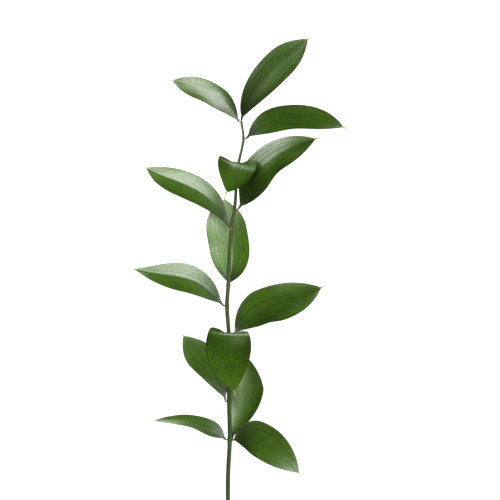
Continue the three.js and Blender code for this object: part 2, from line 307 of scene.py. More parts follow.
def write_points(piece: bpy.types.Object, points: np.ndarray) -> None:
    """Gives a mesh its points.

    Args:
        piece: The mesh object, which sits at the origin.
        points: One layout point for each vertex, in millimetres.
    """
    placed = (points.reshape(-1, 3) + LAYOUT_ORIGIN) * MM
    piece.data.vertices.foreach_set("co", placed.astype(np.float32).ravel())
    piece.data.update()


def read_vectors(items: bpy.types.bpy_prop_collection, key: str) -> np.ndarray:
    """Reads the vectors of a mesh.

    Args:
        items: The mesh's vertices, or its vertex normals.
        key: What they hold the vectors under.

    Returns:
        One vector in each row.
    """
    flat = np.empty(len(items) * 3, np.float32)
    items.foreach_get(key, flat)
    return flat.reshape(-1, 3)


def read_points(piece: bpy.types.Object) -> np.ndarray:
    """Points of a mesh in the layout, in millimetres."""
    return read_vectors(piece.data.vertices, "co") / MM - LAYOUT_ORIGIN


def write_attribute(piece: bpy.types.Object, name: str, values: np.ndarray) -> None:
    """Stores one number for each vertex under a name."""
    attribute = piece.data.attributes.new(name, "FLOAT", "POINT")
    attribute.data.foreach_set("value", values.astype(np.float32).ravel())


def read_attribute(piece: bpy.types.Object, name: str) -> np.ndarray:
    """Reads what write_attribute stored.

    Args:
        piece: The mesh object.
        name: Name of the numbers.

    Returns:
        One number for each vertex.
    """
    values = np.empty(len(piece.data.vertices), np.float32)
    piece.data.attributes[name].data.foreach_get("value", values)
    return values


def weigh(piece: bpy.types.Object, name: str, weights: np.ndarray) -> None:
    """Gives a piece a vertex group.

    Args:
        piece: The mesh object.
        name: Name of the group.
        weights: One weight for each vertex, in the order of the vertices.
    """
    group = piece.vertex_groups.new(name=name)
    for index, weight in enumerate(weights.ravel()):
        group.add([index], float(weight), "REPLACE")


def select_only(*pieces: bpy.types.Object) -> None:
    """Selects some pieces and nothing else.

    Args:
        *pieces: The pieces, the first of which becomes the active one.
    """
    bpy.ops.object.select_all(action="DESELECT")
    for piece in pieces:
        piece.select_set(True)
    bpy.context.view_layer.objects.active = pieces[0]


def fresh_grid(name: str, columns: int, rows: int) -> bpy.types.Object:
    """Adds a flat grid to be shaped.

    Args:
        name: Name of the new piece.
        columns: Number of faces along X.
        rows: Number of faces along Y.

    Returns:
        The grid, whose vertices run along X first.
    """
    bpy.ops.object.select_all(action="DESELECT")
    bpy.ops.mesh.primitive_grid_add(x_subdivisions=columns, y_subdivisions=rows, size=2)
    piece = bpy.context.active_object
    piece.name = piece.data.name = name
    return piece


def apply_modifier(piece: bpy.types.Object, kind: str, **settings: object) -> None:
    """Adds a modifier to a piece, sets it up and applies it.

    Args:
        piece: The mesh object.
        kind: The modifier's type.
        **settings: Its properties.
    """
    select_only(piece)
    modifier = piece.modifiers.new(kind.title(), kind)
    for key, value in settings.items():
        setattr(modifier, key, value)
    bpy.ops.object.modifier_apply(modifier=modifier.name)


def shade_smooth(piece: bpy.types.Object) -> None:
    """Shades a piece smoothly all over."""
    select_only(piece)
    bpy.ops.object.shade_smooth()


# ------------------------------------------------------------------ shader building


class Shader:
    """A node tree under construction, with short ways to add and join nodes."""

    COLUMN_WIDTH = 190

    def __init__(self, tree: bpy.types.NodeTree) -> None:
        """Starts on an existing tree."""
        self.tree = tree
        self.count = 0

    def add(
        self, kind: str, sources: dict[str | int, object] | None = None, **settings: object
    ) -> bpy.types.Node:
        """Adds a node, sets its properties and feeds its sockets.

        Args:
            kind: The node's type.
            sources: What each socket gets, by the socket's name or number.
            **settings: The node's properties.

        Returns:
            The new node.
        """
        node = self.tree.nodes.new(kind)
        node.location = (self.count * self.COLUMN_WIDTH, 0)
        self.count += 1
        for key, value in settings.items():
            setattr(node, key, value)
        for socket, source in (sources or {}).items():
            self.feed(node, socket, source)
        return node

    def feed(self, node: bpy.types.Node, socket: str | int, source: object) -> None:
        """Links a socket to an output, or gives it a plain value.

        Args:
            node: The node that has the socket.
            socket: The socket's name or number.
            source: The output or the value.
        """
        target = node.inputs[socket]
        if isinstance(source, bpy.types.NodeSocket):
            self.tree.links.new(source, target)
        else:
            target.default_value = source

    def math(self, operation: str, *sources: object) -> bpy.types.NodeSocket:
        """Result of a calculation with numbers or outputs."""
        return self.add("ShaderNodeMath", dict(enumerate(sources)), operation=operation).outputs[0]

    def clipped(self, value: object) -> bpy.types.NodeSocket:
        """Number kept from 0 to 1."""
        return self.math("MINIMUM", self.math("MAXIMUM", value, 0.0), 1.0)

    def spread(self, value: object, contrast: object) -> bpy.types.NodeSocket:
        """Number from 0 to 1 with more contrast round its middle."""
        return self.clipped(self.math("MULTIPLY_ADD", self.math("SUBTRACT", value, 0.5), contrast, 0.5))

    def mix(self, share: object, first: object, second: object) -> bpy.types.NodeSocket:
        """Blend of two colours."""
        sources = {"Factor": share, 6: first, 7: second}
        return self.add("ShaderNodeMix", sources, data_type="RGBA").outputs[2]

    def tint(self, ground: object, *layers: tuple[object, float, object]) -> bpy.types.NodeSocket:
        """Lays colours over a ground in turn.

        Args:
            ground: The colour underneath.
            *layers: The mask of each colour, the mask's strength and the colour.

        Returns:
            The colour that shows.
        """
        for mask, strength, colour in layers:
            share = mask if strength == 1 else self.math("MULTIPLY", mask, strength)
            ground = self.mix(share, ground, colour)
        return ground

    def lerp(self, share: object, first: float, second: float) -> bpy.types.NodeSocket:
        """Number that goes from the first to the second as the share goes from 0 to 1."""
        sources = {"Value": share, "To Min": first, "To Max": second}
        return self.add("ShaderNodeMapRange", sources).outputs[0]

    def noise(self, place: object, scale: object, detail: float = 3.0) -> bpy.types.NodeSocket:
        """Noise from 0 to 1 at a place."""
        sources = {"Vector": place, "Scale": scale, "Detail": detail}
        return self.add("ShaderNodeTexNoise", sources).outputs["Fac"]

    def attribute(self, name: str) -> bpy.types.NodeSocket:
        """Number that the mesh holds under a name."""
        return self.add("ShaderNodeAttribute", attribute_name=name).outputs["Fac"]

    def point(self, x: object, y: object, z: object = 0.0) -> bpy.types.NodeSocket:
        """Coordinates made of three numbers or outputs."""
        return self.add("ShaderNodeCombineXYZ", {"X": x, "Y": y, "Z": z}).outputs[0]

    def stretched(self, place: object, stretch: Triple) -> bpy.types.NodeSocket:
        """Coordinates scaled along each axis."""
        return self.add("ShaderNodeMapping", {"Vector": place, "Scale": stretch}).outputs[0]

    def group(
        self, tree: bpy.types.NodeTree, sources: dict[str | int, object]
    ) -> bpy.types.bpy_prop_collection:
        """Outputs of a node group that is fed with the sources."""
        return self.add("ShaderNodeGroup", sources, node_tree=tree).outputs


def new_material(name: str) -> tuple[bpy.types.Material, bpy.types.Node]:
    """Makes a material.

    Args:
        name: The material's name.

    Returns:
        The material and the node of its surface.
    """
    material = bpy.data.materials.new(name)
    material.use_nodes = True
    return material, material.node_tree.nodes["Principled BSDF"]


def new_group(name: str, inputs: dict[str, str], outputs: tuple[str, ...]) -> Shader:
    """Makes a shader node group.

    Args:
        name: The group's name.
        inputs: Socket type for each input's name.
        outputs: Names of the outputs, which are numbers.

    Returns:
        A builder on the group, whose nodes Inputs and Outputs are in place.
    """
    tree = bpy.data.node_groups.new(name, "ShaderNodeTree")
    for key, kind in inputs.items():
        tree.interface.new_socket(name=key, in_out="INPUT", socket_type=kind)
    for key in outputs:
        tree.interface.new_socket(name=key, in_out="OUTPUT", socket_type=NUMBER)
    shader = Shader(tree)
    shader.add("NodeGroupInput", name="Inputs")
    shader.add("NodeGroupOutput", name="Outputs")
    return shader


@dataclass
class Effects:
    """Node groups that several finishes share.

    Cells are counted across half a blade and along all of it. The veins drift by a share of
    their spacing, and a spread tells how far apart the patterns of two tones lie.
    """

    drift_cells: tuple[float, float] = (9.0, 6.0)
    drift: float = 0.35
    midrib_sharpness: float = 28.0
    margin_start: float = 0.92
    broad_cells: tuple[float, float] = (6.0, 3.0)
    fine_cells: tuple[float, float] = (19.0, 5.0)
    streak_spread: float = 37.0
    streak_contrast: float = 2.4
    net_cells: tuple[float, float] = (9.0, 16.0)
    net_spread: float = 11.0
    net_sharpness: float = 8.0
    coarse_detail: float = 4.0
    small_detail: float = 2.0
    small_blotches: float = 5.0
    small_share: float = 0.35
    grain_scale: float = 800.0
    veins: bpy.types.NodeTree = field(init=False)
    fibres: bpy.types.NodeTree = field(init=False)
    mottle: bpy.types.NodeTree = field(init=False)
    skin: bpy.types.NodeTree = field(init=False)

    def __post_init__(self) -> None:
        """Builds the groups."""
        self.veins = self._veins()
        self.fibres = self._fibres()
        self.mottle = self._mottle()
        self.skin = self._skin()

    @staticmethod
    def _cells(
        shader: Shader, cells: tuple[float, float], leaf: object = 0.0
    ) -> bpy.types.NodeSocket:
        """Place on a leaf, counted in cells.

        Args:
            shader: A group that has the inputs Across and Along.
            cells: How many cells there are across half the blade and along it.
            leaf: What tells one leaf's pattern from another's.

        Returns:
            The place as coordinates.
        """
        inputs = shader.tree.nodes["Inputs"].outputs
        across = shader.math("MULTIPLY", inputs["Across"], cells[0])
        lengthwise = shader.math("MULTIPLY", inputs["Along"], cells[1])
        return shader.point(across, lengthwise, leaf)

    def _veins(self) -> bpy.types.NodeTree:
        """Parallel veins that run from a leaf's base to its tip.

        Returns:
            A group that puts out the veins, the midrib and the margin as masks.
        """
        shader = new_group(
            "parallel_veins",
            {"Across": NUMBER, "Along": NUMBER, "Count": NUMBER, "Sharpness": NUMBER},
            ("Veins", "Midrib", "Margin"),
        )
        inputs = shader.tree.nodes["Inputs"].outputs
        outputs = shader.tree.nodes["Outputs"]
        drift = shader.math("SUBTRACT", shader.noise(self._cells(shader, self.drift_cells), 1.0), 0.5)
        turn = shader.math("MULTIPLY", inputs["Across"], inputs["Count"])
        turn = shader.math("MULTIPLY_ADD", drift, self.drift, turn)
        wave = shader.math("ABSOLUTE", shader.math("COSINE", shader.math("MULTIPLY", turn, math.pi)))
        shader.feed(outputs, "Veins", shader.math("POWER", wave, inputs["Sharpness"]))
        aside = shader.math("ABSOLUTE", inputs["Across"])
        midrib = shader.math("SUBTRACT", 1.0, shader.math("MULTIPLY", aside, self.midrib_sharpness))
        shader.feed(outputs, "Midrib", shader.math("MAXIMUM", midrib, 0.0))
        beyond = shader.math("SUBTRACT", aside, self.margin_start)
        margin = shader.math("MULTIPLY", beyond, 1 / (1 - self.margin_start))
        shader.feed(outputs, "Margin", shader.math("MAXIMUM", margin, 0.0))
        return shader.tree

    def _fibres(self) -> bpy.types.NodeTree:
        """Streaks along a leaf, which run together at its base and its tip.

        Returns:
            A group that puts out broad and fine streaks and the net of small veins, each from
            0 to 1.
        """
        shader = new_group(
            "leaf_fibres",
            {"Across": NUMBER, "Along": NUMBER, "Leaf": NUMBER},
            ("Broad", "Fine", "Net"),
        )
        inputs = shader.tree.nodes["Inputs"].outputs
        outputs = shader.tree.nodes["Outputs"]
        for name, cells in (("Broad", self.broad_cells), ("Fine", self.fine_cells)):
            leaf = shader.math("MULTIPLY", inputs["Leaf"], self.streak_spread)
            streaks = shader.noise(self._cells(shader, cells, leaf), 1.0)
            shader.feed(outputs, name, shader.spread(streaks, self.streak_contrast))
        leaf = shader.math("MULTIPLY", inputs["Leaf"], self.net_spread)
        sources = {"Vector": self._cells(shader, self.net_cells, leaf), "Scale": 1.0}
        net = shader.add("ShaderNodeTexVoronoi", sources, feature="DISTANCE_TO_EDGE")
        inside = shader.math("MULTIPLY", net.outputs["Distance"], self.net_sharpness)
        edge = shader.math("SUBTRACT", 1.0, inside)
        shader.feed(outputs, "Net", shader.math("MAXIMUM", edge, 0.0))
        return shader.tree

    def _mottle(self) -> bpy.types.NodeTree:
        """Soft blotches of two sizes, with a contrast that can be set.

        Returns:
            A group that puts out the blotches, from 0 to 1.
        """
        shader = new_group(
            "mottle", {"Place": VECTOR, "Scale": NUMBER, "Contrast": NUMBER}, ("Share",)
        )
        inputs = shader.tree.nodes["Inputs"].outputs
        coarse = shader.noise(inputs["Place"], inputs["Scale"], self.coarse_detail)
        small_scale = shader.math("MULTIPLY", inputs["Scale"], self.small_blotches)
        small = shader.noise(inputs["Place"], small_scale, self.small_detail)
        coarse = shader.math("MULTIPLY", coarse, 1 - self.small_share)
        both = shader.math("MULTIPLY_ADD", small, self.small_share, coarse)
        shader.feed(shader.tree.nodes["Outputs"], "Share", shader.spread(both, inputs["Contrast"]))
        return shader.tree

    def _skin(self) -> bpy.types.NodeTree:
        """Relief of a plant's skin.

        Returns:
            A group that puts out the height of a fine grain, less the lines that are sunk into it.
        """
        shader = new_group(
            "plant_skin",
            {"Place": VECTOR, "Lines": NUMBER, "Grain": NUMBER, "Line Depth": NUMBER},
            ("Height",),
        )
        inputs = shader.tree.nodes["Inputs"].outputs
        grain = shader.math("MULTIPLY", shader.noise(inputs["Place"], self.grain_scale), inputs["Grain"])
        lines = shader.math("MULTIPLY", inputs["Lines"], inputs["Line Depth"])
        shader.feed(shader.tree.nodes["Outputs"], "Height", shader.math("SUBTRACT", grain, lines))
        return shader.tree


# ------------------------------------------------------------------ finishes


@dataclass(frozen=True)
class Mottle:
    """Size and contrast of blotches."""

    scale: float
    contrast: float


@dataclass(frozen=True)
class Relief:
    """Strengths of a skin's grain, its lines and the whole, and its depth in metres."""

    grain: float
    lines: float
    strength: float
    depth: float


class Coat(Shader):
    """The node tree of a new material, with its surface and the place that patterns read."""

    def __init__(self, name: str, effects: Effects) -> None:
        """Makes the material.

        Args:
            name: The material's name.
            effects: The shared node groups.
        """
        self.material, self.surface = new_material(name)
        super().__init__(self.material.node_tree)
        self.effects = effects
        self.place = self.add("ShaderNodeTexCoord").outputs["Object"]

    def blotches(self, place: object, mottle: Mottle) -> bpy.types.NodeSocket:
        """Mottle at a place, from 0 to 1."""
        sources = {"Place": place, "Scale": mottle.scale, "Contrast": mottle.contrast}
        return self.group(self.effects.mottle, sources)["Share"]

    def paint(self, colour: object, roughness: object, specular: float = 0.5) -> None:
        """Gives the surface its look.

        Args:
            colour: Its colour.
            roughness: Its roughness.
            specular: Its specular level.
        """
        self.feed(self.surface, "Base Color", colour)
        self.feed(self.surface, "Roughness", roughness)
        self.feed(self.surface, "Specular IOR Level", specular)

    def carve(self, place: object, lines: object, relief: Relief) -> None:
        """Gives the surface a fine relief.

        Args:
            place: Where the grain is read.
            lines: Mask of the lines that are sunk.
            relief: How strong it is.
        """
        sources = {"Place": place, "Lines": lines, "Grain": relief.grain, "Line Depth": relief.lines}
        height = self.group(self.effects.skin, sources)["Height"]
        sources = {"Strength": relief.strength, "Distance": relief.depth, "Height": height}
        self.feed(self.surface, "Normal", self.add("ShaderNodeBump", sources).outputs[0])


@dataclass(frozen=True)
class Finish:
    """What all finishes share: a name, and a coat that each dresses in its own way."""

    name: str

    def build(self, effects: Effects) -> bpy.types.Material:
        """Makes the material.

        Args:
            effects: The shared node groups.

        Returns:
            The material, which reads a piece's attributes and its place.
        """
        coat = Coat(self.name, effects)
        self.dress(coat)
        return coat.material

    def dress(self, coat: Coat) -> None:
        """Gives the coat its colour, its gloss and its relief."""
        raise NotImplementedError


@dataclass(frozen=True)
class LeafFinish(Finish):
    """Leathery skin of one side of a leaf.

    The roughness goes from the open skin to its lines. The mottle and the broad streaks lift
    the tone by the pattern mean on average, so that much is taken off it first.
    """

    deep: Colour
    fresh: Colour
    vein: Colour
    margin: Colour
    roughness: tuple[float, float]
    relief: float
    vein_share: float
    specular: float = 0.6
    spine: Colour = (0.24, 0.30, 0.05, 1)
    stalk: Colour = (0.030, 0.045, 0.016, 1)
    # Colour of the darker base, partly its own tone and partly painted shade.
    base: Colour = (0.010, 0.018, 0.004, 1)
    # Colour of the pale patches: painted sheen, and leaf 7's pale midrib line.
    sheen_and_midrib_tint: Colour = (0.30, 0.40, 0.20, 1)
    mottle: Mottle = Mottle(scale=40.0, contrast=1.8)
    mottle_share: float = 0.35
    broad_share: float = 0.3
    pattern_mean: float = 0.3
    net_share: float = 0.6
    line_share: float = 0.2
    margin_share: float = 0.85
    base_share: float = 0.8
    fine_share: float = 0.4
    vein_dullness: float = 0.5

    def dress(self, coat: Coat) -> None:
        """Paints the green with its streaks, veins and masks, and sinks the lines.

        Args:
            coat: The coat, on a leaf that holds the attributes of Blade.
        """
        across, share, tone = (coat.attribute(name) for name in ("across", "share", "tone"))
        veins = coat.group(coat.effects.veins, {
            "Across": across, "Along": share, "Count": VEINS_A_SIDE, "Sharpness": VEIN_SHARPNESS,
        })
        fibres = coat.group(coat.effects.fibres, {"Across": across, "Along": share, "Leaf": tone})
        mottle = coat.blotches(coat.place, self.mottle)
        blotch = coat.math("SUBTRACT", tone, self.pattern_mean)
        blotch = coat.math("MULTIPLY_ADD", mottle, self.mottle_share, blotch)
        blotch = coat.math("MULTIPLY_ADD", fibres["Broad"], self.broad_share, blotch)
        # Painted light and shade: the lean lightens one side of the midrib and darkens the other.
        blotch = coat.math("ADD", blotch, coat.attribute("lean"))
        green = coat.tint(
            coat.mix(blotch, self.deep, self.fresh),
            (fibres["Fine"], self.vein_share, self.vein),
            (fibres["Net"], self.net_share, self.deep),
            (veins["Veins"], self.line_share, self.deep),
            (veins["Midrib"], self.line_share, self.deep),
            (veins["Margin"], self.margin_share, self.margin),
            # The darker base is partly its own tone and partly painted shade.
            (coat.attribute("base"), self.base_share, self.base),
            # Pale patches: painted sheen, and leaf 7's pale midrib line.
            (coat.attribute("pale"), 1, self.sheen_and_midrib_tint),
            (coat.attribute("stalk"), 1, self.stalk),
            (coat.attribute("spine"), 1, self.spine),
        )
        dull = coat.math("MULTIPLY_ADD", fibres["Fine"], self.fine_share, fibres["Net"])
        dull = coat.math("MULTIPLY_ADD", veins["Veins"], self.vein_dullness, dull)
        coat.paint(green, coat.lerp(dull, *self.roughness), self.specular)
        lines = coat.math("MULTIPLY_ADD", fibres["Fine"], self.fine_share, veins["Veins"])
        lines = coat.math("ADD", lines, fibres["Net"])
        relief = Relief(grain=0.15, lines=0.5, strength=self.relief, depth=0.00015)
        coat.carve(coat.place, lines, relief)


@dataclass(frozen=True)
class BarkFinish(Finish):
    """Ridged green skin of the stem, with dry rings at its joints, painted shade on its left side and painted
    light on its right side.
    """

    name: str = "ruscus_stem_skin"
    # Painted shade of the stem's left side.
    dark: Colour = (0.006, 0.011, 0.003, 1)
    deep: Colour = (0.018, 0.034, 0.007, 1)
    fresh: Colour = (0.052, 0.092, 0.021, 1)
    # Painted light of the stem's right side.
    painted_light: Colour = (0.100, 0.145, 0.060, 1)
    dry: Colour = (0.26, 0.20, 0.085, 1)
    stretch: Triple = (1.0, 0.05, 1.0)
    mottle: Mottle = Mottle(scale=900.0, contrast=2.2)
    painted_shade_share: float = 0.9
    painted_light_share: float = 0.6
    dry_share: float = 0.8
    specular: float = 0.12
    roughness: tuple[float, float] = (0.42, 0.6)
    relief: Relief = Relief(grain=0.6, lines=0.8, strength=0.5, depth=0.00008)

    def dress(self, coat: Coat) -> None:
        """Paints streaks along the stem, painted shade on its left side, painted light on its right side, and
        its dry rings.

        Args:
            coat: The coat, on a stem that holds the attributes of Stem.
        """
        along_stem = coat.stretched(coat.place, self.stretch)
        streaks = coat.blotches(along_stem, self.mottle)
        green = coat.tint(
            coat.mix(streaks, self.deep, self.fresh),
            # Painted shade on the left side and painted light on the right side.
            (coat.attribute("painted_shade_side"), self.painted_shade_share, self.dark),
            (coat.attribute("painted_light_side"), self.painted_light_share, self.painted_light),
            (coat.attribute("dry"), self.dry_share, self.dry),
        )
        coat.paint(green, coat.lerp(streaks, *self.roughness), self.specular)
        coat.carve(along_stem, streaks, self.relief)


@dataclass(frozen=True)
class PithFinish(Finish):
    """Pale, porous cut through the stem."""

    name: str = "ruscus_cut_pith"
    core: Colour = (0.42, 0.44, 0.22, 1)
    pore: Colour = (0.20, 0.23, 0.08, 1)
    mottle: Mottle = Mottle(scale=2200.0, contrast=3.0)
    roughness: float = 0.8

    def dress(self, coat: Coat) -> None:
        """Paints the pores."""
        pores = coat.blotches(coat.place, self.mottle)
        coat.paint(coat.mix(pores, self.pore, self.core), self.roughness)


@dataclass(frozen=True)
class PaperFinish(Finish):
    """Dry, papery brown of the small scales, paler towards their tips."""

    name: str = "ruscus_dry_scale"
    dark: Colour = (0.16, 0.085, 0.035, 1)
    pale: Colour = (0.52, 0.36, 0.19, 1)
    mottle: Mottle = Mottle(scale=1400.0, contrast=2.4)
    tip_share: float = 0.5
    roughness: float = 0.75

    def dress(self, coat: Coat) -> None:
        """Paints the blotched brown.

        Args:
            coat: The coat, on scales that hold their share of length.
        """
        blotches = coat.blotches(coat.place, self.mottle)
        shade = coat.math("MULTIPLY_ADD", coat.attribute("share"), self.tip_share, blotches)
        coat.paint(coat.mix(shade, self.dark, self.pale), self.roughness)


@dataclass
class Finishes:
    """All materials of the plant, built once."""

    effects: Effects = field(default_factory=Effects)
    upper: bpy.types.Material = field(init=False)
    dull: bpy.types.Material = field(init=False)
    under: bpy.types.Material = field(init=False)
    rim: bpy.types.Material = field(init=False)
    bark: bpy.types.Material = field(init=False)
    pith: bpy.types.Material = field(init=False)
    paper: bpy.types.Material = field(init=False)

    def __post_init__(self) -> None:
        """Builds the materials."""
        upper = LeafFinish(
            name="ruscus_leaf_upper", deep=(0.011, 0.026, 0.0015, 1), fresh=(0.051, 0.120, 0.004, 1),
            vein=(0.042, 0.098, 0.005, 1), margin=(0.016, 0.026, 0.005, 1),
            roughness=(0.21, 0.38), relief=0.38, vein_share=0.45,
        )
        self.upper = upper.build(self.effects)
        self.dull = replace(upper, name="ruscus_leaf_dull", specular=0.32).build(self.effects)
        self.under = LeafFinish(
            name="ruscus_leaf_under", deep=(0.055, 0.080, 0.030, 1), fresh=(0.110, 0.150, 0.065, 1),
            vein=(0.14, 0.18, 0.09, 1), margin=(0.05, 0.07, 0.025, 1),
            roughness=(0.5, 0.62), relief=0.6, vein_share=0.5,
        ).build(self.effects)
        self.rim = LeafFinish(
            name="ruscus_leaf_rim", deep=(0.016, 0.028, 0.006, 1), fresh=(0.032, 0.048, 0.012, 1),
            vein=(0.03, 0.045, 0.012, 1), margin=(0.024, 0.036, 0.010, 1),
            roughness=(0.5, 0.6), relief=0.1, vein_share=0.0, specular=0.1,
        ).build(self.effects)
        self.bark = BarkFinish().build(self.effects)
        self.pith = PithFinish().build(self.effects)
        self.paper = PaperFinish().build(self.effects)


# ------------------------------------------------------------------ the stem


@dataclass
class Stem:
    """The slender stem: ridged, thickened at its joints, flat at its cut end.

    Painted shade darkens its left side and painted light brightens its right side, between the
    heights where the painted shade comes in and goes out. Each side's pair says where it starts
    and is full, as a share of the radius out from the middle. A dry ring lies a little below each joint.
    """

    sides: int = 48
    step: float = 3.0
    joint_step: float = 0.5
    joint_reach: float = 4.0
    joint_gap: float = 1.0
    swelling: float = 0.15
    swelling_reach: float = 2.5
    ridges: int = 9
    ridge_height: float = 0.05
    ridge_twist: float = 0.02
    end_rounding: float = 1.2
    end_share: float = 0.45
    shade_in: tuple[float, float] = (0, 60)
    shade_out: tuple[float, float] = (300, 330)
    # Where the painted shade on the left side and the painted light on the right side start and are full.
    painted_shade_side: tuple[float, float] = (0, 0.7)
    painted_light_side: tuple[float, float] = (0.1, 0.8)
    ring_drop: float = 1.6
    ring_reach: float = 0.55
    samples_per_stretch: int = 60
    heights: np.ndarray = field(init=False)
    centres: np.ndarray = field(init=False)

    def __post_init__(self) -> None:
        """Samples the stem's course once."""
        self.centres = self._course()
        self.heights = self.centres[:, 1]

    def _course(self) -> np.ndarray:
        """Centripetal Catmull-Rom curve through the joints.

        Returns:
            Points of the curve, in millimetres.
        """
        at = np.array([joint.at for joint in JOINTS], float)
        before, after = 2 * at[0] - at[1], 2 * at[-1] - at[-2]
        knots = np.vstack([before, at, after])
        share = np.linspace(0, 1, self.samples_per_stretch, endpoint=False)[:, None]
        points = []
        for p0, p1, p2, p3 in zip(knots, knots[1:], knots[2:], knots[3:]):
            d0, d1, d2 = (math.sqrt(np.linalg.norm(b - a)) for a, b in ((p0, p1), (p1, p2), (p2, p3)))
            start = ((p1 - p0) / d0 - (p2 - p0) / (d0 + d1) + (p2 - p1) / d1) * d1
            end = ((p2 - p1) / d1 - (p3 - p1) / (d1 + d2) + (p3 - p2) / d2) * d1
            square, cube = share**2, share**3
            bend = square * (3 * (p2 - p1) - 2 * start - end) + cube * (2 * (p1 - p2) + start + end)
            points.append(p1 + share * start + bend)
        return np.vstack([*points, at[-1:]])

    def centre(self, height: np.ndarray) -> np.ndarray:
        """Finds the stem's middle.

        Args:
            height: Heights along Y, in millimetres.

        Returns:
            One centre for each height.
        """
        x = np.interp(height, self.heights, self.centres[:, 0])
        z = np.interp(height, self.heights, self.centres[:, 2])
        return np.stack([x, np.asarray(height, float), z], -1)

    def radius(self, height: np.ndarray) -> np.ndarray:
        """Finds the stem's radius, with the swellings at its joints.

        Args:
            height: Heights along Y, in millimetres.

        Returns:
            One radius for each height.
        """
        plain = np.interp(height, [joint.at[1] for joint in JOINTS], [joint.radius for joint in JOINTS])
        swell = sum(bump(height, joint.at[1], self.swelling_reach) for joint in JOINTS if not joint.plain)
        return plain * (1 + self.swelling * swell)

    def stations(self) -> np.ndarray:
        """Places the stem's rings.

        Returns:
            Their heights along Y, evenly spread and much closer at each joint.
        """
        low, high = JOINTS[0].at[1], JOINTS[-1].at[1]
        heights = list(np.arange(low, high, self.step))
        reach = np.arange(-self.joint_reach, self.joint_reach, self.joint_step)
        cleared = self.joint_reach + self.joint_gap
        for joint in JOINTS:
            if not joint.plain:
                heights = [y for y in heights if abs(y - joint.at[1]) > cleared]
                heights += [y for y in joint.at[1] + reach if y < high]
        return np.array([*sorted(heights), high])

    def build(self, finishes: Finishes) -> bpy.types.Object:
        """Models the stem.

        Args:
            finishes: The plant's materials.

        Returns:
            The stem, closed at both ends.
        """
        heights = self.stations()
        bpy.ops.object.select_all(action="DESELECT")
        bpy.ops.mesh.primitive_circle_add(vertices=self.sides, radius=1, fill_type="NGON")
        piece = bpy.context.active_object
        piece.name = piece.data.name = "stem_body"
        bpy.ops.object.mode_set(mode="EDIT")
        bpy.ops.mesh.select_all(action="SELECT")
        bpy.ops.mesh.normals_make_consistent(inside=False)
        for _ in heights:
            bpy.ops.mesh.extrude_region_move(TRANSFORM_OT_translate={"value": (0, 0, 1)})
        bpy.ops.object.mode_set(mode="OBJECT")
        self._shape(piece, heights)
        self._dress(piece, finishes)
        return piece

    def _shape(self, piece: bpy.types.Object, heights: np.ndarray) -> None:
        """Brings the straight extruded rod onto the stem's course.

        Args:
            piece: The rod, with one ring of vertices for each unit of height.
            heights: Heights of the rings along Y; one ring more rounds the top.
        """
        rod = read_vectors(piece.data.vertices, "co")
        ring = np.rint(rod[:, 2]).astype(int)
        angle = np.arctan2(rod[:, 1], rod[:, 0])
        last = len(heights) - 1
        height = heights[np.minimum(ring, last)]
        ahead = self.centre(np.minimum(height + 1, heights[-1]))
        behind = self.centre(np.maximum(height - 1, 0))
        tangent = unit(ahead - behind)
        across = unit(np.cross(tangent, (0, 0, 1)))
        up = np.cross(across, tangent)
        ridge = self.ridge_height * np.cos(self.ridges * angle + self.ridge_twist * height)
        radius = self.radius(height) - self.ridge_height + ridge
        radius = np.where(ring > last, radius * self.end_share, radius)
        outward = across * np.cos(angle)[:, None] + up * np.sin(angle)[:, None]
        points = self.centre(height) + radius[:, None] * outward
        points = points + np.where(ring > last, self.end_rounding, 0)[:, None] * tangent
        write_points(piece, points)
        # Painted shade on the stem's left side and painted light on its right side.
        shaded = ramp(height, *self.shade_in) * (1 - ramp(height, *self.shade_out))
        write_attribute(piece, "painted_shade_side", ramp(-np.cos(angle), *self.painted_shade_side) * shaded)
        write_attribute(piece, "painted_light_side", ramp(np.cos(angle), *self.painted_light_side) * shaded)
        joints = [joint for joint in JOINTS if not joint.plain]
        rings = (joint.scar * bump(height, joint.at[1] - self.ring_drop, self.ring_reach) for joint in joints)
        write_attribute(piece, "dry", sum(rings))

    def _dress(self, piece: bpy.types.Object, finishes: Finishes) -> None:
        """Gives the stem its skin, and its cut end the pith.

        Args:
            piece: The shaped stem.
            finishes: The plant's materials.
        """
        bpy.ops.object.mode_set(mode="EDIT")
        bpy.ops.mesh.select_all(action="SELECT")
        bpy.ops.mesh.normals_make_consistent(inside=False)
        bpy.ops.object.mode_set(mode="OBJECT")
        piece.data.materials.append(finishes.bark)
        piece.data.materials.append(finishes.pith)
        shade_smooth(piece)
        for face in piece.data.polygons:
            if len(face.vertices) == self.sides and face.normal.y < 0:
                face.material_index = 1
                face.use_smooth = False


# ------------------------------------------------------------------ the leaves


